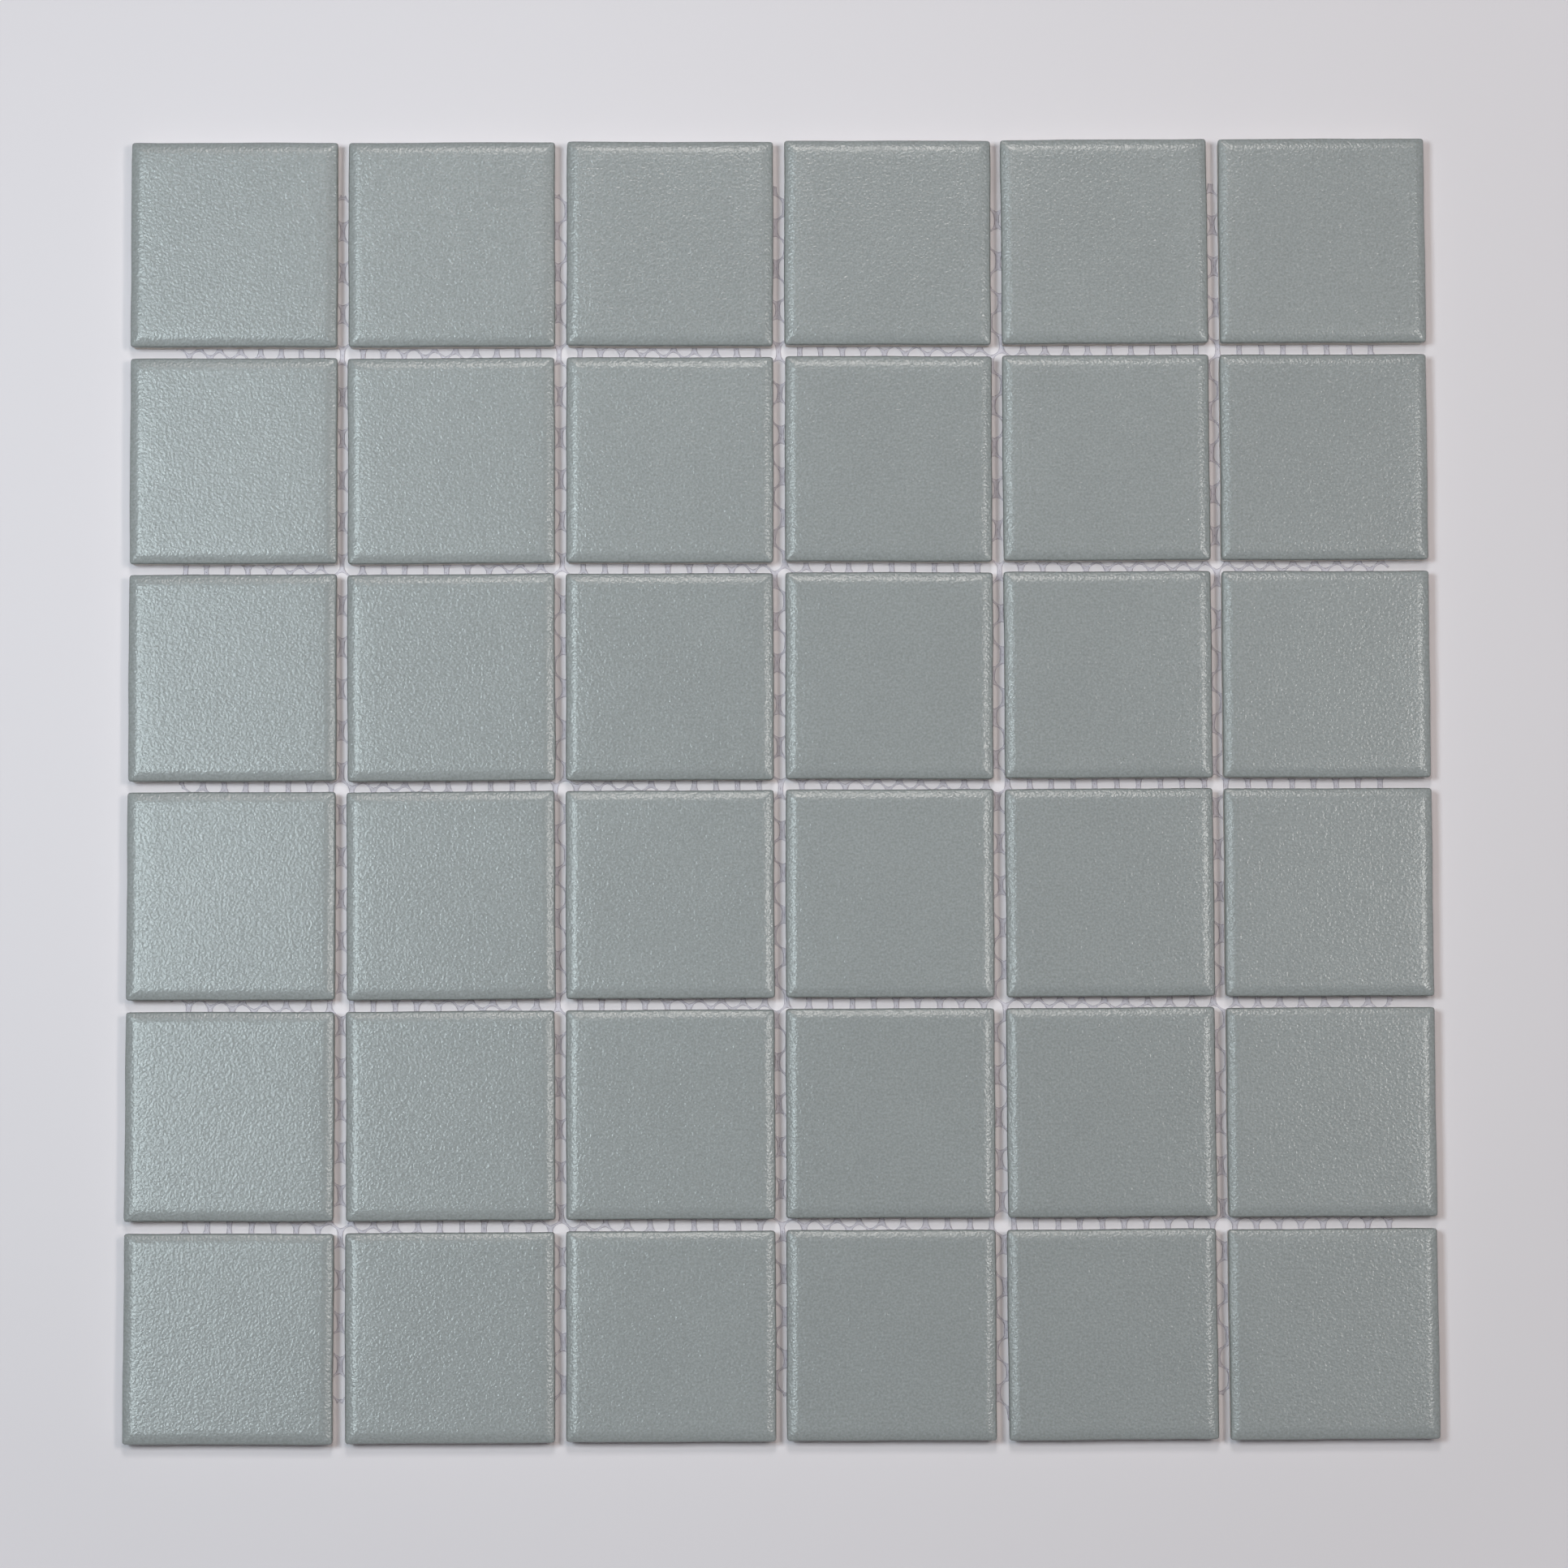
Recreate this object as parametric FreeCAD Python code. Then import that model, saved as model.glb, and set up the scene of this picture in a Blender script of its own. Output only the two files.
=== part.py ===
import FreeCAD
import Part

import math
import os

# Mosaic tile sheet: square pressed porcelain tiles laid face up on an open backing net.
# Millimetres. The origin is on the floor under the middle of the sheet, and +Z points
# up out of the tile faces. +Y is towards the top row.

# Sheet
TILES_ACROSS = 6
TILES_DOWN = 6
TILE_SIDE = 48.0
JOINT_WIDTH = 2.5

# Tile section, from the back to the face
TILE_THICKNESS = 6.0
BACK_CHAMFER = 0.5
SIDE_DRAFT = 0.25  # the press die narrows the tile by this much on each side, going down
BEVEL_WIDTH = 2.0  # the face slopes down over this width along all four sides
BEVEL_DROP = 0.7
CREST_RADIUS = 5.6  # rounding where the flat face turns into the bevel
SHOULDER_RADIUS = 0.7  # rounding where the bevel turns into the side
CORNER_RADIUS = 0.8  # rounding of the four upright corners

# Keying grooves pressed into the tile's back
GROOVE_COUNT = 5
GROOVE_WIDTH = 4.4  # at the mouth
GROOVE_DEPTH = 0.45
GROOVE_FLARE = 0.4  # how much narrower the groove's floor is, on each side
GROOVE_PITCH = 8.6

# Backing net: flat knitted strands around six-sided openings
NET_THICKNESS = 0.4
NET_MARGIN = 12.0  # from the sheet's edge to the net's cut edge
NET_SHIFT_DOWN = 1.8  # the net's middle is this far below the middle of the sheet
CELL_WIDTH = 5.0  # from one upright bar to the next in a row of openings
ROW_PITCH = 4.87  # from one row of openings to the next, half a cell along
BAR_LENGTH = 3.0  # the upright bars, between the points where three strands meet
BAR_WIDTH = 1.1
STRAND_WIDTH = 0.85  # the slanting strands
PATTERN_START = (0.2, 4.37)  # the middle of one opening, in the straight pattern

# How far the net was pulled out of true when it was laid, in millimetres at 100 mm from the middle
ROW_SLOPE = -7.4  # the rows climb to the right
ROW_BOW = 2.0  # and bend up towards both ends
ROW_SWAY = 0.7  # more so at the right than at the left
COLUMN_LEAN = -2.5  # the columns lean to the right, going up
COLUMN_FAN = -1.65  # less so at the left than at the right
COLUMN_SPREAD = 0.8  # and stand closer together at the left
COLUMN_TWIST = 0.75  # most of all at the top
NET_PANELS = 4  # the net is stored as this many panels across and down


def sheet_length(count):
    """Outer length of a run of tiles with their joints."""
    return count * TILE_SIDE + (count - 1) * JOINT_WIDTH


# Tiles


def tile_bar():
    """A bar with the tile's cross-section in X and Z, one tile long in Y, rounded along the face's two long edges."""
    half = TILE_SIDE / 2
    foot = half - SIDE_DRAFT
    bevel_foot = TILE_THICKNESS - BEVEL_DROP
    right = [
        (foot - BACK_CHAMFER, 0),
        (foot, BACK_CHAMFER),
        (half, bevel_foot),
        (half - BEVEL_WIDTH, TILE_THICKNESS),
    ]
    left = [(-x, z) for x, z in reversed(right)]
    section = [FreeCAD.Vector(x, -half, z) for x, z in right + left]
    bar = Part.Face(Part.makePolygon(section + section[:1])).extrude(FreeCAD.Vector(0, TILE_SIDE, 0))
    bar = bar.makeFillet(CREST_RADIUS, edges_at_height(bar, TILE_THICKNESS, TILE_SIDE))
    return bar.makeFillet(SHOULDER_RADIUS, edges_at_height(bar, bevel_foot, TILE_SIDE))


def edges_at_height(bar, height, length):
    """The bar's straight edges of the given length that lie level at the given height."""
    return [
        edge
        for edge in bar.Edges
        if abs(edge.BoundBox.ZMin - height) < 1e-6
        and abs(edge.BoundBox.ZMax - height) < 1e-6
        and abs(edge.Length - length) < 1e-6
    ]


def rounded_column():
    """An upright column of the tile's outline, with rounded corners."""
    half = TILE_SIDE / 2
    column = Part.makeBox(TILE_SIDE, TILE_SIDE, TILE_THICKNESS, FreeCAD.Vector(-half, -half, 0))
    uprights = [edge for edge in column.Edges if abs(edge.BoundBox.ZLength - TILE_THICKNESS) < 1e-6]
    return column.makeFillet(CORNER_RADIUS, uprights)


def keying_groove(centre_y):
    """One groove's tapered prism, running the whole way across the back."""
    mouth = GROOVE_WIDTH / 2
    floor = mouth - GROOVE_FLARE
    section = [(-mouth, 0), (mouth, 0), (floor, GROOVE_DEPTH), (-floor, GROOVE_DEPTH)]
    points = [FreeCAD.Vector(-TILE_SIDE / 2, centre_y + y, z) for y, z in section]
    return Part.Face(Part.makePolygon(points + points[:1])).extrude(FreeCAD.Vector(TILE_SIDE, 0, 0))


def tile():
    """One tile about its own middle, its back at height 0: two crossed bars give the bevels their mitred corners."""
    bar = tile_bar()
    crossed = bar.copy()
    crossed.rotate(FreeCAD.Vector(0, 0, 0), FreeCAD.Vector(0, 0, 1), 90)
    body = bar.common(crossed).common(rounded_column())
    first = -GROOVE_PITCH * (GROOVE_COUNT - 1) / 2
    grooves = [keying_groove(first + GROOVE_PITCH * i) for i in range(GROOVE_COUNT)]
    return body.cut(grooves).removeSplitter().Solids[0]


def laying_error(row, column):
    """How far a hand-laid tile is off its place: shift in X and Y, and turn in degrees.

    Each is a long wave over the sheet, for its skew, and a short one that keeps neighbours unlike.
    """
    shift_x = 0.28 * math.sin(2.8 + 0.2 * row - 0.08 * column) + 0.09 * math.sin(0.9 * row + 4.4 * column)
    shift_y = 0.13 * math.sin(1.3 * row - 0.18 * column - 2.66) + 0.11 * math.sin(0.3 * row + 1.1 * column + 2.95)
    turn = 0.21 * math.sin(0.1 * row + 4.3 * column - 2.82) + 0.13 * math.sin(5.3 * row + 0.7 * column - 2.83)
    return shift_x, shift_y, turn


def lay_tile(pattern, row, column):
    """A copy of the tile in its place on the net, counting rows from the top and columns from the left."""
    pitch = TILE_SIDE + JOINT_WIDTH
    shift_x, shift_y, turn = laying_error(row, column)
    x = (column - (TILES_ACROSS - 1) / 2) * pitch + shift_x
    y = ((TILES_DOWN - 1) / 2 - row) * pitch + shift_y
    laid = pattern.copy()
    laid.rotate(FreeCAD.Vector(0, 0, 0), FreeCAD.Vector(0, 0, 1), turn)
    laid.translate(FreeCAD.Vector(x, y, NET_THICKNESS))
    return laid


# Backing net


def net_size():
    """Width and length of the net between its cut edges."""
    return sheet_length(TILES_ACROSS) - 2 * NET_MARGIN, sheet_length(TILES_DOWN) - 2 * NET_MARGIN


def net_point(u, v):
    """Places a point of the straight pattern on the sheet, pulled out of true."""
    across = u / 100
    up = v / 100
    x = u + COLUMN_SPREAD * across**2 + (COLUMN_LEAN + COLUMN_FAN * across + COLUMN_TWIST * across**2) * up
    y = v + ROW_SLOPE * across + ROW_BOW * across**2 + ROW_SWAY * across**3
    return x, y


def cell_outline(u, v):
    """The six corners, in the straight pattern, of the cell about (u, v), on the middle lines of its strands."""
    half_width = CELL_WIDTH / 2
    shoulder = BAR_LENGTH / 2
    tip = ROW_PITCH - shoulder
    return [
        (u, v + tip),
        (u + half_width, v + shoulder),
        (u + half_width, v - shoulder),
        (u, v - tip),
        (u - half_width, v - shoulder),
        (u - half_width, v + shoulder),
    ]


def opening_outline(u, v):
    """The six corners of the cell's opening: half a bar in from the uprights, half a strand in from the slants."""
    half_width = (CELL_WIDTH - BAR_WIDTH) / 2
    rise = (ROW_PITCH - BAR_LENGTH) / (CELL_WIDTH / 2)
    tip = ROW_PITCH - BAR_LENGTH / 2 - STRAND_WIDTH / 2 * math.hypot(1, rise)
    shoulder = tip - half_width * rise
    return [
        (u, v + tip),
        (u + half_width, v + shoulder),
        (u + half_width, v - shoulder),
        (u, v - tip),
        (u - half_width, v - shoulder),
        (u - half_width, v + shoulder),
    ]


def net_cells():
    """The middles of all cells that fall inside the net's cut edges, in the straight pattern."""
    width, length = net_size()
    reach = int(max(width, length) / min(CELL_WIDTH, ROW_PITCH))
    cells = []
    for row in range(-reach, reach + 1):
        for column in range(-reach, reach + 1):
            u = PATTERN_START[0] + (column + (row % 2) / 2) * CELL_WIDTH
            v = PATTERN_START[1] + row * ROW_PITCH
            x, y = net_point(u, v)
            if abs(x) < width / 2 and abs(y + NET_SHIFT_DOWN) < length / 2:
                cells.append((u, v))
    return cells


def panel_of(u, v):
    """The panel, counted across and down, in which a cell is stored."""
    width, length = net_size()
    x, y = net_point(u, v)
    across = int((x / width + 0.5) * NET_PANELS)
    down = int((0.5 - (y + NET_SHIFT_DOWN) / length) * NET_PANELS)
    return down, across


def corner_key(corner):
    """A corner rounded off, so that cells that share it agree on it."""
    return round(corner[0], 4), round(corner[1], 4)


def strand_edge(corner, owners):
    """Moves a corner on the net's rim outwards by half a strand. Inside the net three cells share it and it stays."""
    middles = owners[corner]
    if len(middles) > 2:
        return net_point(*corner)
    away_u = corner[0] - sum(u for u, v in middles) / len(middles)
    away_v = corner[1] - sum(v for u, v in middles) / len(middles)
    reach = STRAND_WIDTH / math.sqrt(3) / math.hypot(away_u, away_v)
    return net_point(corner[0] + reach * away_u, corner[1] + reach * away_v)


def rim(cells):
    """The closed outline around a group of cells: the sides that no two of them share, end to end."""
    sides = set()
    for cell in cells:
        corners = [corner_key(corner) for corner in cell_outline(*cell)]
        for side in zip(corners, corners[1:] + corners[:1]):
            if side[::-1] in sides:
                sides.remove(side[::-1])
            else:
                sides.add(side)
    following = dict(sides)
    outline = [min(following)]
    while following[outline[-1]] != outline[0]:
        outline.append(following[outline[-1]])
    return outline


def net_panel(cells, owners):
    """One panel: its rim with every cell's opening left out, as thick as the strands."""
    outlines = [[strand_edge(corner, owners) for corner in rim(cells)]]
    outlines += [[net_point(*corner) for corner in opening_outline(*cell)] for cell in cells]
    wires = []
    for outline in outlines:
        points = [FreeCAD.Vector(x, y, 0) for x, y in outline]
        wires.append(Part.makePolygon(points + points[:1]))
    return Part.Face(wires).extrude(FreeCAD.Vector(0, 0, NET_THICKNESS))


def backing_net():
    """All panels of the net, by their place counted down and across."""
    owners = {}
    panels = {}
    for cell in net_cells():
        panels.setdefault(panel_of(*cell), []).append(cell)
        for corner in cell_outline(*cell):
            owners.setdefault(corner_key(corner), []).append(cell)
    return {place: net_panel(cells, owners) for place, cells in panels.items()}


def main():
    os.makedirs("parts", exist_ok=True)
    pattern = tile()
    for row in range(TILES_DOWN):
        for column in range(TILES_ACROSS):
            laid = lay_tile(pattern, row, column)
            laid.exportStep(f"parts/tile_r{row + 1}_c{column + 1}.step")
    for (down, across), panel in backing_net().items():
        panel.exportStep(f"parts/backing_net_r{down + 1}_c{across + 1}.step")


main()
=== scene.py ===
import math

import bpy
import numpy as np
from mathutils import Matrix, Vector


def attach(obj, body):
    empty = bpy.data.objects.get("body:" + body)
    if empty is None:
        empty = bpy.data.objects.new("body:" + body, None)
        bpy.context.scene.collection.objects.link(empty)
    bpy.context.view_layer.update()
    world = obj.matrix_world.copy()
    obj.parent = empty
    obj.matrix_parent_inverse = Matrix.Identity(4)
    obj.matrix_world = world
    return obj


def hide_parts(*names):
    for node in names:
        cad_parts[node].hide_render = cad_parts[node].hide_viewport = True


# The sheet lies face up on the floor: +Z up out of the tiles, +Y towards the top row.
# The sheet's sizes are in millimetres, and its meshes are made in metres. The paper, the lamps
# and the camera are in metres.
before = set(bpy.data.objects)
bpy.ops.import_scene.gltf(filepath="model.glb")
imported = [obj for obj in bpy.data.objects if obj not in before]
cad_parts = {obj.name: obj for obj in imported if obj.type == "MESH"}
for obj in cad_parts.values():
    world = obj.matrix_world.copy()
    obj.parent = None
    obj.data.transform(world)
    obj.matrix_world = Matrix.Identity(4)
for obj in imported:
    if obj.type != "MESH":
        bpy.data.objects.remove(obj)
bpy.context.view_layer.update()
MM = 0.001

# Backing net
# The net is knitted from fine polymer threads, drawn open into six-sided cells and set with
# resin, so each strand is a clear film with a thicker rib along both edges. It is glued to the
# tiles' backs and cut off about 12 mm inside the sheet's outline, where cut threads stick out.

NET_WIDTH = 276.5
NET_SHIFT_DOWN = 1.8  # the net's middle is this far below the middle of the sheet
NET_PANELS = 4  # across and down
CELL_WIDTH = 5.0
ROW_PITCH = 4.87
BAR_LENGTH = 3.0
PATTERN_START_U = 0.2  # the middle of one opening, in the straight pattern
PATTERN_START_V = 4.37

# How far the net was pulled out of true when it was laid, in millimetres at 100 mm from the middle
ROW_SLOPE = -7.4  # the rows fall to the right
ROW_BOW = 2.0  # and bend up towards both ends
ROW_SWAY = 0.7  # more so at the right than at the left
COLUMN_LEAN = -2.5  # the columns lean to the left, going up
COLUMN_FAN = -1.65  # less so at the left than at the right
COLUMN_SPREAD = 0.8  # and stand closer together at the left
COLUMN_TWIST = 0.75  # most of all at the top
THREAD_WANDER = 0.07  # how far a thread strays sideways

BAR_HALF_WIDTH = 0.56
SLANT_HALF_WIDTH = 0.2
OPENING_SHARPNESS = 7  # how sharply the opening's six corners turn
STUB_LOSS = 0.2  # cut threads lose up to this share of a side, and the shortest are gone
RIB_PLACE = 0.34  # share of the way from the opening's edge to the strand's middle line
FOOT_PLACE = 0.12  # the same, for the foot of the edge
EDGE_HEIGHT = 0.17
RIB_HEIGHT = 0.4
FILM_HEIGHT = 0.27
FILM_COLOUR = (0.66, 0.65, 0.76, 1)
# The ribs are darker partly from their denser resin and partly from painted shade: the dark lines of
# refraction and contact shadow along the opening's edge.
RIB_AND_SHADE_COLOUR = (0.34, 0.32, 0.37, 1)
RIB_AND_SHADE_SHOWS = (0.6, 1, 0.1, 0, 0)  # how much of the rib's darker colour, partly painted shade, shows on a cell's five lines, from the opening's edge out
FILM_ALPHA = 0.17
RIB_ALPHA = 0.5

# Steps along a cell's six sides, clockwise from its top corner: slants in three, upright bars in
# two. Points 4 and 12 of the ring that they make are the middles of the two bars.
SIDE_STEPS = (3, 2, 3, 3, 2, 3)
BAR_MIDDLES = (4, 12)


def pulled_out_of_true(u, v):
    """Place on the sheet of point (u, v) of the straight pattern.

    u gains a spread with the square of u, and a lean, fan and twist that grow with v.
    v gains a slope, a bow and a sway that grow with u, its square and its cube.
    """
    across = u / 100
    up = v / 100
    x = u + COLUMN_SPREAD * across**2 + (COLUMN_LEAN + COLUMN_FAN * across + COLUMN_TWIST * across**2) * up
    y = v + ROW_SLOPE * across + ROW_BOW * across**2 + ROW_SWAY * across**3
    return x, y


def wandered(u, v):
    """Point (u, v) moved sideways by slow sines of u and v, so that no two cells are quite alike."""
    du = np.sin(0.61 * u + 1.07 * v + 0.4) + 0.7 * np.sin(1.31 * v - 0.37 * u)
    dv = np.sin(0.83 * u - 0.59 * v + 1.9) + 0.7 * np.sin(1.13 * u + 0.71 * v)
    return u + THREAD_WANDER * du, v + THREAD_WANDER * dv


def cell_ring():
    """Points on the middle lines of one cell's strands, and of its opening's edge in the same directions.

    The middle lines are straight runs between the six corners. Six lines beside them, set in by half
    a strand, bound the opening. In each direction the edge lies at about the nearest of these lines:
    one over its distance is a root of the sum of powers of one over theirs, which rounds the corners.
    """
    shoulder = BAR_LENGTH / 2
    tip = ROW_PITCH - shoulder
    side = CELL_WIDTH / 2
    right_corners = [(0, tip), (side, shoulder), (side, -shoulder)]
    left_corners = [(0, -tip), (-side, -shoulder), (-side, shoulder)]
    corners = np.array(right_corners + left_corners)
    half_widths = [SLANT_HALF_WIDTH, BAR_HALF_WIDTH, SLANT_HALF_WIDTH] * 2
    runs = []
    normals = []
    for k, steps in enumerate(SIDE_STEPS):
        start = corners[k]
        end = corners[(k + 1) % 6]
        share = np.arange(steps)[:, None] / steps
        runs.append(start * (1 - share) + end * share)
        along = (end - start) / np.hypot(*(end - start))
        outward = np.array([-along[1], along[0]])
        normals.append(outward / (start @ outward - half_widths[k]))
    middle = np.vstack(runs)
    direction = middle / np.hypot(middle[:, 0], middle[:, 1])[:, None]
    nearness = np.clip(direction @ np.array(normals).T, 0, None)
    power_sum = (nearness**OPENING_SHARPNESS).sum(axis=1)
    edge = direction * (power_sum ** (-1 / OPENING_SHARPNESS))[:, None]
    return middle, edge


def scatter(u, v):
    """A number from 0 to 1 that looks random, the same for the same point (u, v).

    It is the fraction left of a large multiple of a fast sine.
    """
    fast_sine = np.sin(12.9898 * np.round(u, 4) + 78.233 * np.round(v, 4))
    return np.modf(np.abs(fast_sine * 4375.85453))[0]


def knitted_steps():
    """Every used cell's middle, its panel, and which of its 16 steps along its sides hold a strand.

    A side is there in full if the cell on either side of it is inside the cut. Another side that
    starts or ends at such a cell's corner is a cut thread there, with a random share of its length.
    The six neighbours are taken clockwise, from the one at the upper right.
    """
    reach = int(NET_WIDTH / min(CELL_WIDTH, ROW_PITCH))
    row, column = np.mgrid[-reach : reach + 1, -reach : reach + 1]
    odd = row % 2
    u = PATTERN_START_U + (column + odd / 2) * CELL_WIDTH
    v = PATTERN_START_V + row * ROW_PITCH
    x, y = pulled_out_of_true(u, v)
    inside = (np.abs(x) < NET_WIDTH / 2) & (np.abs(y + NET_SHIFT_DOWN) < NET_WIDTH / 2)
    steps_up = (1, 0, -1, -1, 0, 1)
    steps_right = (odd, 1, odd, odd - 1, -1, odd - 1)
    last = 2 * reach
    beside = []
    for up, right in zip(steps_up, steps_right):
        row_beside = np.clip(row + reach + up, 0, last)
        column_beside = np.clip(column + reach + right, 0, last)
        beside.append(inside[row_beside, column_beside])
    middle, _ = cell_ring()
    knitted = []
    node = 0
    for k, steps in enumerate(SIDE_STEPS):
        start = middle[node]
        end = middle[(node + steps) % len(middle)]
        # Points near both ends, the same for the two cells that share the side
        near_start = start * 0.8 + end * 0.2
        near_end = start * 0.2 + end * 0.8
        cut_start = np.where(beside[k - 1], scatter(u + near_start[0], v + near_start[1]), 0)
        cut_end = np.where(beside[(k + 1) % 6], scatter(u + near_end[0], v + near_end[1]), 0)
        for step in range(steps):
            share = (step + 0.5) / steps
            from_start = share < cut_start * (1 + STUB_LOSS) - STUB_LOSS
            from_end = 1 - share < cut_end * (1 + STUB_LOSS) - STUB_LOSS
            knitted.append(inside | beside[k] | from_start | from_end)
        node += steps
    knitted = np.stack(knitted, axis=-1)
    across = np.clip(((x / NET_WIDTH + 0.5) * NET_PANELS).astype(int), 0, NET_PANELS - 1)
    down = np.clip(((0.5 - (y + NET_SHIFT_DOWN) / NET_WIDTH) * NET_PANELS).astype(int), 0, NET_PANELS - 1)
    used = knitted.any(axis=-1)
    return u[used], v[used], down[used], across[used], knitted[used]


def smooth_mesh(name, points, faces, marks):
    """A smooth-shaded mesh of points given in millimetres, with named values on its points."""
    mesh = bpy.data.meshes.new(name)
    mesh.from_pydata((points * MM).tolist(), [], faces)
    for label, values in marks.items():
        attribute = mesh.attributes.new(label, "FLOAT", "POINT")
        attribute.data.foreach_set("value", values.astype(np.float32))
    mesh.polygons.foreach_set("use_smooth", np.ones(len(mesh.polygons), bool))
    mesh.update()
    return mesh


def panel_mesh(name, u, v, knitted):
    """The closed mesh of the cells with these middles and knitted steps.

    Each cell is a ring of 16 steps with five lines around it: the foot and the top of the opening's
    edge, the rib, the middle line on top, and the middle line underneath. Cells share the points of
    their middle lines. A step with no neighbour is closed along its middle line, and a strand's cut
    end by a face across it.
    """
    middle, edge = cell_ring()
    ring = len(middle)
    foot_line = edge + (middle - edge) * FOOT_PLACE
    rib_line = edge + (middle - edge) * RIB_PLACE
    lines = np.stack([foot_line, edge, rib_line, middle, middle])
    shape = (len(u), len(lines), ring)
    heights = np.repeat(np.array([0, EDGE_HEIGHT, RIB_HEIGHT, FILM_HEIGHT, 0.0])[:, None], ring, axis=1)
    # Painted shade along the opening's edge joins the rib's own darker colour on these lines
    rib = np.repeat(np.array(RIB_AND_SHADE_SHOWS)[:, None], ring, axis=1)
    # Painted shade: a dark mark where a bar's two legs part, in place of the gap between them
    slit = np.zeros((len(lines), ring))
    slit[3:, BAR_MIDDLES] = 1
    pu = (u[:, None, None] + lines[None, :, :, 0]).ravel()
    pv = (v[:, None, None] + lines[None, :, :, 1]).ravel()
    pz = np.broadcast_to(heights, shape).ravel()
    # Points that agree to a thousandth of a millimetre are one
    keys = np.round(np.stack([pu, pv, pz], axis=1) * 1000).astype(np.int64)
    _, first, merged = np.unique(keys, axis=0, return_index=True, return_inverse=True)
    merged = merged.reshape(shape)

    cell, step = np.nonzero(knitted)
    after = (step + 1) % ring
    foot, top, crown, film, under = merged[cell, :, step].T
    foot_next, top_next, crown_next, film_next, under_next = merged[cell, :, after].T
    pair = np.sort(np.stack([film, film_next], axis=1), axis=1)
    _, owner, sharers = np.unique(pair, axis=0, return_inverse=True, return_counts=True)
    alone = sharers[owner.ravel()] == 1
    starts = ~knitted[cell, (step - 1) % ring]
    ends = ~knitted[cell, after]
    quads = [
        np.stack([foot, foot_next, top_next, top], axis=1),
        np.stack([top, top_next, crown_next, crown], axis=1),
        np.stack([crown, crown_next, film_next, film], axis=1),
        np.stack([foot, under, under_next, foot_next], axis=1),
        np.stack([under_next, under, film, film_next], axis=1)[alone],
    ]
    caps = [
        np.stack([foot, top, crown, film, under], axis=1)[starts],
        np.stack([under_next, film_next, crown_next, top_next, foot_next], axis=1)[ends],
    ]
    faces = np.vstack(quads).tolist() + np.vstack(caps).tolist()

    used = np.unique(np.concatenate([np.ravel(face) for face in faces]))
    renumber = np.zeros(len(first), np.int64)
    renumber[used] = np.arange(len(used))
    faces = [renumber[face].tolist() for face in faces]
    kept = first[used]
    x, y = pulled_out_of_true(*wandered(pu[kept], pv[kept]))
    marks = {
        "rib": np.broadcast_to(rib, shape).ravel()[kept],
        "slit": np.broadcast_to(slit, shape).ravel()[kept],
    }
    return smooth_mesh(name, np.stack([x, y, pz[kept]], axis=1), faces, marks)


def link(tree, source, output, target, socket):
    """Joins one node's output to another node's input."""
    tree.links.new(source.outputs[output], target.inputs[socket])


def math_node(tree, operation, first, second, clamp=False):
    """A Math node on two inputs, each a number or an output."""
    node = tree.nodes.new("ShaderNodeMath")
    node.operation = operation
    node.use_clamp = clamp
    for socket, value in zip(node.inputs, (first, second)):
        if isinstance(value, (int, float)):
            socket.default_value = value
        else:
            tree.links.new(value, socket)
    return node.outputs[0]


def noise_node(tree, scale, detail, roughness=0.5):
    """A Noise texture on Object coordinates, its scale in cells per metre."""
    place = tree.nodes.new("ShaderNodeTexCoord")
    noise = tree.nodes.new("ShaderNodeTexNoise")
    noise.inputs["Scale"].default_value = scale
    noise.inputs["Detail"].default_value = detail
    noise.inputs["Roughness"].default_value = roughness
    link(tree, place, "Object", noise, "Vector")
    return noise.outputs["Fac"]


def point_value(tree, name):
    """The output of an Attribute node that reads a mesh's named values."""
    node = tree.nodes.new("ShaderNodeAttribute")
    node.attribute_name = name
    return node.outputs["Fac"]


def bumped(tree, shader, height, distance):
    """Gives the shader a Bump node on this height, its distance in metres."""
    bump = tree.nodes.new("ShaderNodeBump")
    bump.inputs["Distance"].default_value = distance
    tree.links.new(height, bump.inputs["Height"])
    link(tree, bump, "Normal", shader, "Normal")


def mixed_colour(tree, factor, first, second):
    """A Mix node from the first colour to the second, by the factor."""
    node = tree.nodes.new("ShaderNodeMix")
    node.data_type = "RGBA"
    tree.links.new(factor, node.inputs["Factor"])
    for socket, value in zip((node.inputs[6], node.inputs[7]), (first, second)):
        if isinstance(value, tuple):
            socket.default_value = value
        else:
            tree.links.new(value, socket)
    return node.outputs[2]


def new_material(name):
    """An empty node material, its tree and its Principled shader."""
    material = bpy.data.materials.new(name)
    material.use_nodes = True
    tree = material.node_tree
    return material, tree, tree.nodes["Principled BSDF"]


def resin_net_material():
    """Clear lilac film, denser and darker in the ribs, partly by painted shade, and with painted shade
    where a bar's two legs part.
    """
    material, tree, shader = new_material("resin_set_net")
    patchy = noise_node(tree, 900, 2)
    # Darker ribs: partly denser resin, partly painted shade along the opening's edge
    rib_and_edge_shade = math_node(tree, "POWER", point_value(tree, "rib"), 1.4)
    # Painted shade where a bar's two legs part
    painted_slit_shade = math_node(tree, "POWER", point_value(tree, "slit"), 5.0)
    density = math_node(tree, "MAXIMUM", rib_and_edge_shade, painted_slit_shade)
    patches = math_node(tree, "ADD", math_node(tree, "MULTIPLY", patchy, 0.9), 0.5)
    factor = math_node(tree, "MULTIPLY", density, patches, clamp=True)
    tree.links.new(mixed_colour(tree, factor, FILM_COLOUR, RIB_AND_SHADE_COLOUR), shader.inputs["Base Color"])
    span = math_node(tree, "MULTIPLY", factor, RIB_ALPHA - FILM_ALPHA)
    tree.links.new(math_node(tree, "ADD", span, FILM_ALPHA), shader.inputs["Alpha"])
    shader.inputs["Roughness"].default_value = 0.4
    shader.inputs["IOR"].default_value = 1.48
    bumped(tree, shader, noise_node(tree, 2600, 2), 0.00004)
    return material


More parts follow.
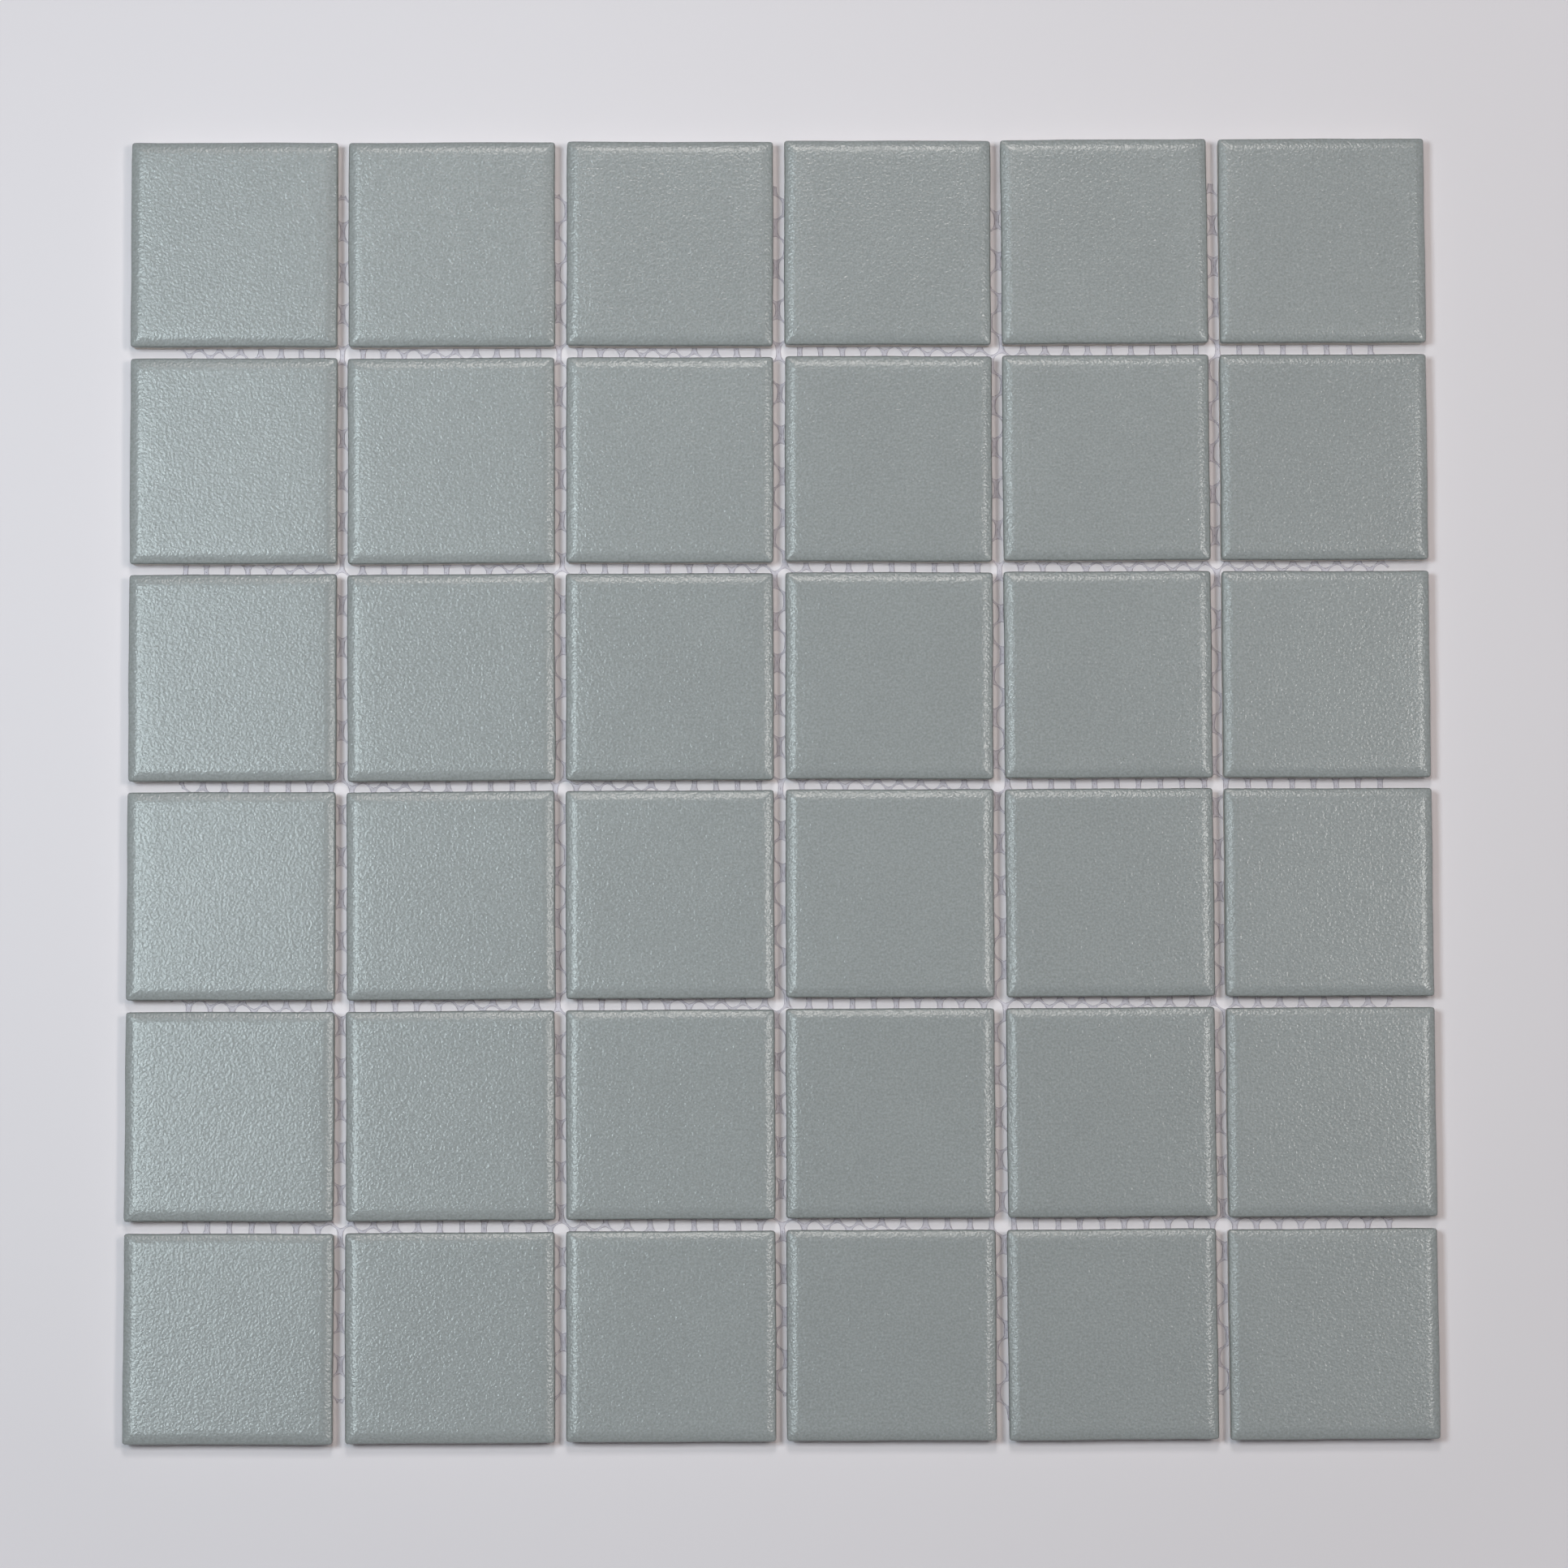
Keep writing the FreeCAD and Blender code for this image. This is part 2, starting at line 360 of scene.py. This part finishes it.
net_resin = resin_net_material()
cell_u, cell_v, cell_down, cell_across, cell_steps = knitted_steps()
for panel_down in range(NET_PANELS):
    for panel_across in range(NET_PANELS):
        in_panel = (cell_down == panel_down) & (cell_across == panel_across)
        place = f"r{panel_down + 1}_c{panel_across + 1}"
        panel = panel_mesh(f"knitted_net_{place}", cell_u[in_panel], cell_v[in_panel], cell_steps[in_panel])
        panel.materials.append(net_resin)
        net = bpy.data.objects.new(f"knitted_net_{place}", panel)
        bpy.context.scene.collection.objects.link(net)
        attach(net, "root")
        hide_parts(f"backing_net_{place}")

# Tiles
# Each tile is pressed porcelain with a bevelled face and a grooved back. A matt blue-green grey
# glaze covers the face and the upper part of the sides, and ends in a ragged line above bare
# biscuit. The tile is laid by hand on the net and glued, so it is a little off its place and turned.

TILES_ACROSS = 6
TILES_DOWN = 6
TILE_SIDE = 48.0
TILE_PITCH = 50.5
TILE_THICKNESS = 6.0
BACK_HEIGHT = 0.4  # the tiles' backs lie on the net
BACK_CHAMFER = 0.5
SIDE_DRAFT = 0.25
BEVEL_WIDTH = 2.0
BEVEL_DROP = 0.7
CREST_RADIUS = 5.6
SHOULDER_RADIUS = 0.7
CORNER_RADIUS = 0.8
SHOULDER_LINES = 7  # mesh lines over the shoulder's arc
CREST_LINES = 5
GROOVE_COUNT = 5
GROOVE_WIDTH = 4.4
GROOVE_DEPTH = 0.45
GROOVE_FLARE = 0.4
GROOVE_PITCH = 8.6
HIP_ROUNDING = 0.7  # the glaze rounds the four mitres off over this width
HIP_RUN_IN = 0.6  # which it reaches this far in from the corner's arc
INNER_LINES_X = (-17.0, -9.0, 0.0, 9.0, 17.0)  # mesh lines across the flat of the tile
OUTLINE_WAVE = 0.045
WAVED_RIM = 5.0  # the outline's waves die out this far inside it
FACE_WAVE = 0.012
SHARP_ANGLE = 40  # edges that turn by more degrees than this look sharp
RIM_SHADE_REACH = 0.45  # painted shade darkens the glaze near the outline, and fades out over this distance
GLAZE_COLOUR = (0.2, 0.221, 0.223, 1)
GLAZE_PALE_COLOUR = (0.274, 0.302, 0.306, 1)
# Painted shade: the glaze turns darker near the tile's outline
GLAZE_RIM_SHADE_COLOUR = (0.165, 0.186, 0.178, 1)
BISCUIT_COLOUR = (0.72, 0.68, 0.63, 1)
BISCUIT_SPECK_COLOUR = (0.6, 0.56, 0.51, 1)
GLAZE_LINE = 4.2  # the glaze ends about this far above the floor
GLAZE_LINE_RAGGED = 1.2  # and strays over this height


def face_section():
    """The face's section as distance in from the outline and height above the tile's back.

    The shoulder's arc from its outermost point on, the straight bevel, and the crest's short arc
    into the flat face, each arc tangent to the straight lines on both sides.
    """
    half = TILE_SIDE / 2
    wall_tilt = math.atan2(SIDE_DRAFT, TILE_THICKNESS - BEVEL_DROP - BACK_CHAMFER)
    bevel_tilt = math.atan2(BEVEL_DROP, BEVEL_WIDTH)
    turn = math.pi / 2 + wall_tilt - bevel_tilt
    bisector = math.pi - bevel_tilt + (math.pi - turn) / 2
    reach = SHOULDER_RADIUS / math.sin((math.pi - turn) / 2)
    centre_x = half + reach * math.cos(bisector)
    centre_z = TILE_THICKNESS - BEVEL_DROP + reach * math.sin(bisector)
    angle = np.linspace(0, math.pi / 2 - bevel_tilt, SHOULDER_LINES)
    shoulder = half - centre_x - SHOULDER_RADIUS * np.cos(angle), centre_z + SHOULDER_RADIUS * np.sin(angle)
    crest_start = BEVEL_WIDTH + CREST_RADIUS * math.tan(bevel_tilt / 2)
    angle = np.linspace(math.pi / 2 - bevel_tilt, math.pi / 2, CREST_LINES)
    crest = crest_start - CREST_RADIUS * np.cos(angle), TILE_THICKNESS - CREST_RADIUS * (1 - np.sin(angle))
    return np.concatenate([shoulder[0], crest[0]]), np.concatenate([shoulder[1], crest[1]])


def softly_least(a, b, width):
    """The lesser of a and b, less up to a quarter of width where the two are about equal."""
    closeness = np.clip(1 - np.abs(a - b) / width, 0, None)
    return np.minimum(a, b) - width / 4 * closeness**2


def rounded(x, y, radius):
    """Moves a square grid's points near its corners onto arcs about the corner's centre.

    A point's distance from that centre becomes the greater of its two distances along X and Y.
    """
    centre = TILE_SIDE / 2 - radius
    out_x = np.clip(np.abs(x) - centre, 1e-9, None)
    out_y = np.clip(np.abs(y) - centre, 1e-9, None)
    pull = np.maximum(out_x, out_y) / np.hypot(out_x, out_y)
    corner = (out_x > 1e-8) & (out_y > 1e-8)
    x = np.where(corner, np.sign(x) * (centre + out_x * pull), x)
    y = np.where(corner, np.sign(y) * (centre + out_y * pull), y)
    return x, y


def mirrored_lines(distances, inner):
    """Grid lines at these distances in from both sides, with the inner lines between them."""
    out = TILE_SIDE / 2 - distances
    return np.concatenate([-out, inner, out[::-1]])


def face_grid(lines_x, lines_y, section_in, section_height):
    """A grid of the face's points about the tile's middle, and each point's distance in from the sides.

    The distance is a soft least of those along X and Y, which rounds the mitres off, and the height
    is the section's at that distance.
    """
    x, y = np.meshgrid(lines_x, lines_y, indexing="ij")
    in_x = TILE_SIDE / 2 - np.abs(x)
    in_y = TILE_SIDE / 2 - np.abs(y)
    past_corner = np.clip((np.minimum(in_x, in_y) - CORNER_RADIUS) / HIP_RUN_IN, 0.001, 1)
    distance = softly_least(in_x, in_y, HIP_ROUNDING * past_corner)
    z = np.interp(distance, section_in, section_height)
    x, y = rounded(x, y, CORNER_RADIUS)
    return np.stack([x, y, z], axis=-1), distance


def back_grid(lines_x, lines_y, groove_y):
    """A grid of the back's points, each on the chamfer or the nearest groove, whichever is higher."""
    x, y = np.meshgrid(lines_x, lines_y, indexing="ij")
    distance = TILE_SIDE / 2 - np.maximum(np.abs(x), np.abs(y))
    chamfer = np.clip(BACK_CHAMFER + SIDE_DRAFT - distance, 0, BACK_CHAMFER)
    to_groove = np.abs(y[..., None] - groove_y).min(axis=-1)
    groove = np.clip((GROOVE_WIDTH / 2 - to_groove) / GROOVE_FLARE, 0, 1) * GROOVE_DEPTH
    x, y = rounded(x, y, CORNER_RADIUS)
    return np.stack([x, y, np.maximum(chamfer, groove)], axis=-1)


def once_round(across, along):
    """The grid indices of the points on a grid's four sides, in order round it."""
    i = np.arange(across - 1)
    j = np.arange(along - 1)
    round_i = np.concatenate([i, 0 * j + across - 1, across - 1 - i, 0 * j])
    round_j = np.concatenate([0 * i, j, 0 * i + along - 1, along - 1 - j])
    return round_i, round_j


def swell(along, across, phases):
    """A sine 38 mm long and a weaker one 17 mm long, along a side and slanting a little across it."""
    long_wave = np.sin(along / 6.1 + phases[0] + across / 20)
    short_wave = np.sin(along / 2.7 + phases[1] + across / 15)
    return long_wave + 0.6 * short_wave


def made_uneven(points, draw):
    """The points with this tile's own waves added, with phases drawn for it.

    The outline's waves grow with the square of the distance into the rim. The face's are a product
    of sines of x and y and a slanting sine, less their greatest sum, so that no point is raised.
    They set in between 4 and 5.5 mm above the back.
    """
    x, y, z = points.T
    phase = draw.uniform(0, 2 * math.pi, 10)  # three more than are used
    rim_start = TILE_SIDE / 2 - WAVED_RIM
    near_x = np.clip((np.abs(x) - rim_start) / WAVED_RIM, 0, 1) ** 2 * np.sign(x)
    near_y = np.clip((np.abs(y) - rim_start) / WAVED_RIM, 0, 1) ** 2 * np.sign(y)
    on_face = np.clip((z - 4) / 1.5, 0, 1)
    dome = np.sin(x / 7.5 + phase[4]) * np.sin(y / 8.5 + phase[5]) + 0.6 * np.sin((x + y) / 4.5 + phase[6])
    waved_x = x + OUTLINE_WAVE * near_x * swell(y, x, phase[0:2])
    waved_y = y + OUTLINE_WAVE * near_y * swell(x, y, phase[2:4])
    waved_z = z + FACE_WAVE * on_face * (dome - 1.6)
    return np.stack([waved_x, waved_y, waved_z], axis=1)


def tile_points(draw):
    """One tile's points about its middle, the painted rim shade on each, and the order of the points.

    First comes a grid of the face, then one of the back with as many lines, then a belt once round
    the side, halfway between their rims. In the rounded corners the back's lines stand at the same
    angles as the face's, and the next one is the chamfer's inner edge.
    """
    section_in, section_height = face_section()
    groove_y = GROOVE_PITCH * (np.arange(GROOVE_COUNT) - (GROOVE_COUNT - 1) / 2)
    mouth = GROOVE_WIDTH / 2
    slope_ends = (-mouth, GROOVE_FLARE - mouth, mouth - GROOVE_FLARE, mouth)
    inner_y = np.sort(np.concatenate([groove_y + place for place in slope_ends]))
    back_in = section_in.copy()
    back_in[:SHOULDER_LINES] *= (CORNER_RADIUS - SIDE_DRAFT) / CORNER_RADIUS
    back_in[:SHOULDER_LINES] += SIDE_DRAFT
    back_in[SHOULDER_LINES] = SIDE_DRAFT + BACK_CHAMFER

    face_x = mirrored_lines(section_in, INNER_LINES_X)
    face_y = mirrored_lines(section_in, inner_y)
    face, distance = face_grid(face_x, face_y, section_in, section_height)
    back_x = mirrored_lines(back_in, INNER_LINES_X)
    back_y = mirrored_lines(back_in, inner_y)
    back = back_grid(back_x, back_y, groove_y)
    shape = face.shape[:2]
    loop = once_round(*shape)
    belt = (face[loop] + back[loop]) / 2
    points = np.concatenate([face.reshape(-1, 3), back.reshape(-1, 3), belt])
    rim_shade = np.zeros(len(points))
    # Painted shade near the outline, fading inwards
    rim_shade[: distance.size] = np.exp(-np.clip(distance, 0, None) / RIM_SHADE_REACH).ravel()
    return made_uneven(points, draw), rim_shade, shape, loop


def tile_faces(shape, loop):
    """Quads of the face, the back turned over, and two strips that join them round the side."""
    across, along = shape
    index = np.arange(across * along).reshape(across, along)
    corners = [index[:-1, :-1], index[1:, :-1], index[1:, 1:], index[:-1, 1:]]
    face = np.stack(corners, axis=-1).reshape(-1, 4)
    back = face[:, ::-1] + across * along
    upper = index[loop]
    lower = upper + across * along
    belt = 2 * across * along + np.arange(len(upper))
    strips = []
    for below, above in ((belt, upper), (lower, belt)):
        strips.append(np.stack([below, np.roll(below, -1), np.roll(above, -1), above], axis=1))
    return np.vstack([face, back] + strips)


def laying_error(row, column):
    """How far a hand-laid tile is off its place: shift in X and Y, and turn in degrees.

    Each is a sum of two sines of the row and the column.
    """
    shift_x = 0.28 * math.sin(2.8 + 0.2 * row - 0.08 * column)
    shift_x += 0.09 * math.sin(0.9 * row + 4.4 * column)
    shift_y = 0.13 * math.sin(1.3 * row - 0.18 * column - 2.66)
    shift_y += 0.11 * math.sin(0.3 * row + 1.1 * column + 2.95)
    turn = 0.21 * math.sin(0.1 * row + 4.3 * column - 2.82)
    turn += 0.13 * math.sin(5.3 * row + 0.7 * column - 2.83)
    return shift_x, shift_y, turn


def laid_tile(name, row, column, draw):
    """The mesh of one tile in its place, counting rows from the top and columns from the left."""
    points, rim_shade, shape, loop = tile_points(draw)
    shift_x, shift_y, turn = laying_error(row, column)
    cosine = math.cos(math.radians(turn))
    sine = math.sin(math.radians(turn))
    middle_x = (column - (TILES_ACROSS - 1) / 2) * TILE_PITCH
    middle_y = ((TILES_DOWN - 1) / 2 - row) * TILE_PITCH
    x = points[:, 0] * cosine - points[:, 1] * sine + middle_x + shift_x
    y = points[:, 0] * sine + points[:, 1] * cosine + middle_y + shift_y
    z = points[:, 2] + BACK_HEIGHT
    marks = {"painted_rim_shade": rim_shade, "firing": np.full(len(points), draw.uniform(0, 1))}
    faces = tile_faces(shape, loop).tolist()
    mesh = smooth_mesh(name, np.stack([x, y, z], axis=1), faces, marks)
    mesh.set_sharp_from_angle(angle=math.radians(SHARP_ANGLE))
    return mesh


def glazed_porcelain_material():
    """Matt glaze with an orange-peel grain, and bare speckled biscuit below a ragged glaze line.

    The glaze's tone is a mix of clouds, fine speckle and the tile's own firing, and painted shade
    darkens it near the outline.
    """
    material, tree, shader = new_material("matt_glazed_porcelain")
    place = tree.nodes.new("ShaderNodeTexCoord")
    axes = tree.nodes.new("ShaderNodeSeparateXYZ")
    link(tree, place, "Object", axes, "Vector")
    grain = noise_node(tree, 1800, 1, 0.45)
    speckle = noise_node(tree, 1900, 1)
    cloud = noise_node(tree, 70, 3)
    ragged = noise_node(tree, 420, 3)

    cloudy = math_node(tree, "MULTIPLY", cloud, 0.35)
    mottled = math_node(tree, "MULTIPLY", speckle, 2.1)
    fired = math_node(tree, "MULTIPLY", point_value(tree, "firing"), 0.15)
    tone = math_node(tree, "ADD", cloudy, mottled)
    tone = math_node(tree, "ADD", tone, fired)
    tone = math_node(tree, "SUBTRACT", tone, 0.8, clamp=True)
    glaze = mixed_colour(tree, tone, GLAZE_COLOUR, GLAZE_PALE_COLOUR)
    # Painted shade darkens the glaze near the outline
    rim_shade = math_node(tree, "MULTIPLY", point_value(tree, "painted_rim_shade"), 0.6)
    glaze = mixed_colour(tree, rim_shade, glaze, GLAZE_RIM_SHADE_COLOUR)
    speck = math_node(tree, "GREATER_THAN", noise_node(tree, 2400, 1), 0.66)
    biscuit = mixed_colour(tree, speck, BISCUIT_COLOUR, BISCUIT_SPECK_COLOUR)

    edge = math_node(tree, "MULTIPLY", ragged, GLAZE_LINE_RAGGED * MM)
    line = math_node(tree, "ADD", edge, (GLAZE_LINE - GLAZE_LINE_RAGGED / 2) * MM)
    above = math_node(tree, "SUBTRACT", axes.outputs["Z"], line)
    glazed = math_node(tree, "MULTIPLY", above, 9000.0, clamp=True)
    tree.links.new(mixed_colour(tree, glazed, biscuit, glaze), shader.inputs["Base Color"])
    rough = math_node(tree, "MULTIPLY", glazed, -0.62)
    tree.links.new(math_node(tree, "ADD", rough, 0.86), shader.inputs["Roughness"])
    shader.inputs["IOR"].default_value = 1.5
    shader.inputs["Specular IOR Level"].default_value = 0.88
    bumped(tree, shader, grain, 0.0001)
    return material


glazed_porcelain = glazed_porcelain_material()
draw_tiles = np.random.default_rng(36)
for tile_row in range(TILES_DOWN):
    for tile_column in range(TILES_ACROSS):
        place = f"r{tile_row + 1}_c{tile_column + 1}"
        tile_mesh = laid_tile(f"glazed_tile_{place}", tile_row, tile_column, draw_tiles)
        tile_mesh.materials.append(glazed_porcelain)
        tile = bpy.data.objects.new(f"glazed_tile_{place}", tile_mesh)
        bpy.context.scene.collection.objects.link(tile)
        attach(tile, "root")
        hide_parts(f"tile_{place}")

# Paper under the sheet
# A plain pale floor. Away from the sheet it fades to a plain glow of its own colour, for the
# camera and for reflections only, so that low views end in a pale ground. The glow begins close
# to the sheet's corners, where it is painted light that brightens the paper.

PAPER_COLOUR = (0.7, 0.68, 0.72, 1)
PAPER_HALF_WIDTH = 3.0
PAPER_DROP = 0.00005
# Painted light: the glow starts this far from the middle, near the sheet's corners, and brightens the paper
# there
PAINTED_GLOW_START = 0.19
FADE_END = 0.45


def paper_material():
    """Matt paper that fades, away from the middle, to a glow that only camera and glossy rays see: painted
    light near the sheet's corners, a pale ground farther out.
    """
    material, tree, shader = new_material("pale_paper")
    shader.inputs["Base Color"].default_value = PAPER_COLOUR
    shader.inputs["Roughness"].default_value = 0.9
    shader.inputs["Specular IOR Level"].default_value = 0.2
    place = tree.nodes.new("ShaderNodeTexCoord")
    distance = tree.nodes.new("ShaderNodeVectorMath")
    distance.operation = "LENGTH"
    link(tree, place, "Object", distance, "Vector")
    fade = tree.nodes.new("ShaderNodeMapRange")
    fade.interpolation_type = "SMOOTHSTEP"
    fade.inputs["From Min"].default_value = PAINTED_GLOW_START
    fade.inputs["From Max"].default_value = FADE_END
    link(tree, distance, "Value", fade, "Value")
    rays = tree.nodes.new("ShaderNodeLightPath")
    seen = math_node(tree, "MAXIMUM", rays.outputs["Is Camera Ray"], rays.outputs["Is Glossy Ray"])
    glow = tree.nodes.new("ShaderNodeEmission")
    glow.inputs["Color"].default_value = PAPER_COLOUR
    mix = tree.nodes.new("ShaderNodeMixShader")
    tree.links.new(math_node(tree, "MULTIPLY", fade.outputs["Result"], seen), mix.inputs["Fac"])
    link(tree, shader, "BSDF", mix, 1)
    link(tree, glow, "Emission", mix, 2)
    link(tree, mix, "Shader", tree.nodes["Material Output"], "Surface")
    return material


paper_mesh = bpy.data.meshes.new("paper")
paper_signs = ((-1, -1), (1, -1), (1, 1), (-1, 1))
paper_points = [(a * PAPER_HALF_WIDTH, b * PAPER_HALF_WIDTH, -PAPER_DROP) for a, b in paper_signs]
paper_mesh.from_pydata(paper_points, [], [(0, 1, 2, 3)])
paper_mesh.materials.append(paper_material())
paper = bpy.data.objects.new("paper", paper_mesh)
bpy.context.scene.collection.objects.link(paper)

# Lamps
# A cool softbox at the left, weaker warm ones at the right, the top and overhead, and a faint even
# light from all round together make a white surface render about white. The first three have a
# lamp each for the highlights, farther out, where the photo's bevels show them.


def softbox(name, place, width, length, share, highlights=False, aim=(0, 0, 0), spread=180):
    """An area lamp that gives a level face at the sheet's middle this share of white.

    The power is pi squared times the distance squared, over the cosines of the light's slant at
    the face and at the lamp. A grid that narrows the spread to a half angle h passes more light
    at an angle a off the lamp's axis by (tan h - tan a) / (tan h - h). The lamp shows only in the
    highlights, or only in the matt light and its shadows.
    """
    lamp = bpy.data.lights.new(name, "AREA")
    lamp.shape = "RECTANGLE"
    lamp.size = width
    lamp.size_y = length
    lamp.spread = math.radians(spread)
    to_middle = -Vector(place)
    axis = Vector(aim) - Vector(place)
    off_axis = to_middle.angle(axis)
    half_spread = math.radians(spread / 2)
    gain = 1
    if spread < 180:
        gain = (math.tan(half_spread) - math.tan(off_axis)) / (math.tan(half_spread) - half_spread)
    distance = to_middle.length
    slant = place[2] / distance
    lamp.energy = math.pi**2 * distance**2 / (slant * math.cos(off_axis) * gain) * max(share)
    lamp.color = [value / max(share) for value in share]
    box = bpy.data.objects.new(name, lamp)
    box.location = place
    lean = math.acos(-axis.z / axis.length)
    bearing = math.atan2(-axis.y, -axis.x) + math.pi / 2
    box.rotation_euler = (lean, 0, bearing)
    box.visible_camera = False
    box.visible_diffuse = not highlights
    box.visible_glossy = highlights
    bpy.context.scene.collection.objects.link(box)


LEFT_EDGE = (-0.15, 0, 0)
LEFT_EDGE_HIGHER = (-0.15, 0.05, 0)
softbox(
    "left_softbox",
    (-0.33, 0.065, 1.0),
    0.23,
    0.23,
    (0.408, 0.465, 0.487),
    aim=LEFT_EDGE_HIGHER,
    spread=120,
)
softbox(
    "left_reflection",
    (-0.46, 0.025, 1.0),
    0.64,
    0.28,
    (0.225, 0.262, 0.27),
    highlights=True,
    aim=LEFT_EDGE,
    spread=36,
)
softbox("right_softbox", (0.32, 0.065, 1.0), 0.23, 0.15, (0.256, 0.233, 0.212))
softbox("right_reflection", (0.56, 0.015, 1.0), 0.36, 0.16, (0.115, 0.112, 0.108), highlights=True)
softbox("top_softbox", (0.0, 0.4, 1.0), 0.15, 0.22, (0.22, 0.213, 0.205))
softbox("top_reflection", (0.0, 0.72, 1.0), 0.42, 0.26, (0.128, 0.12, 0.114), highlights=True)
softbox("overhead_panel", (-0.005, 0.08, 1.0), 0.13, 0.22, (0.02, 0.012, 0.005))

# The room's even light, and the plain ground that camera, glossy and see-through rays meet instead
ROOM_LIGHT = (0.08, 0.077, 0.08, 1)
BACKDROP_COLOUR = (0.66, 0.65, 0.68, 1)
world = bpy.data.worlds.new("pale_room")
bpy.context.scene.world = world
world.use_nodes = True
room = world.node_tree
room_rays = room.nodes.new("ShaderNodeLightPath")
shows = math_node(room, "MAXIMUM", room_rays.outputs["Is Camera Ray"], room_rays.outputs["Is Glossy Ray"])
shows = math_node(room, "MAXIMUM", shows, room_rays.outputs["Is Transmission Ray"])
room_colour = mixed_colour(room, shows, ROOM_LIGHT, BACKDROP_COLOUR)
room.links.new(room_colour, room.nodes["Background"].inputs["Color"])

# Camera
# Straight above the sheet with a long lens, a little towards the bottom row and tilted back by
# four degrees.

camera = bpy.data.cameras.new("camera")
camera.sensor_width = 36
camera.lens = 106.66
camera.clip_start = 0.01
viewpoint = bpy.data.objects.new("camera", camera)
viewpoint.location = (-0.00372, -0.0753, 1.0732)
viewpoint.rotation_euler = (0.0706, -0.0041, -0.0039)
bpy.context.scene.collection.objects.link(viewpoint)
bpy.context.scene.camera = viewpoint
bpy.context.scene.view_settings.view_transform = "Standard"
